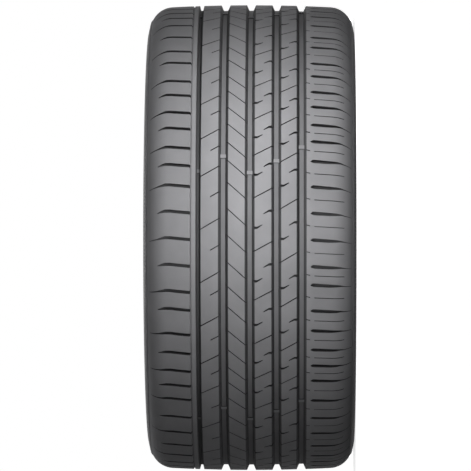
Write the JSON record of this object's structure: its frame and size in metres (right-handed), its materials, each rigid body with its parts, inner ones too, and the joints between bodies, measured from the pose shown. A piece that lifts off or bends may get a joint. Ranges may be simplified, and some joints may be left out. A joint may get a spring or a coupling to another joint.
{
  "type": "car tyre",
  "caption": "Low-profile road car tyre for a 20 inch rim, with straight tread grooves, sipes and open beads, lying on its sidewall.",
  "frame": {"origin": "wheel centre: on the wheel axis, in the middle plane of the tread", "axes": "+Z along the wheel axis, up, because the tyre lies on its sidewall; +X and +Y are radial, and the picture looks along +Y with +X at the top of the picture"},
  "size_m": [0.685, 0.685, 0.3012],
  "materials": {
    "tread_rubber": "moulded black rubber, satin, near-neutral grey in bright light"
  },
  "bodies": {
    "root": {"tyre": "tread_rubber"}
  },
  "joints": []
}
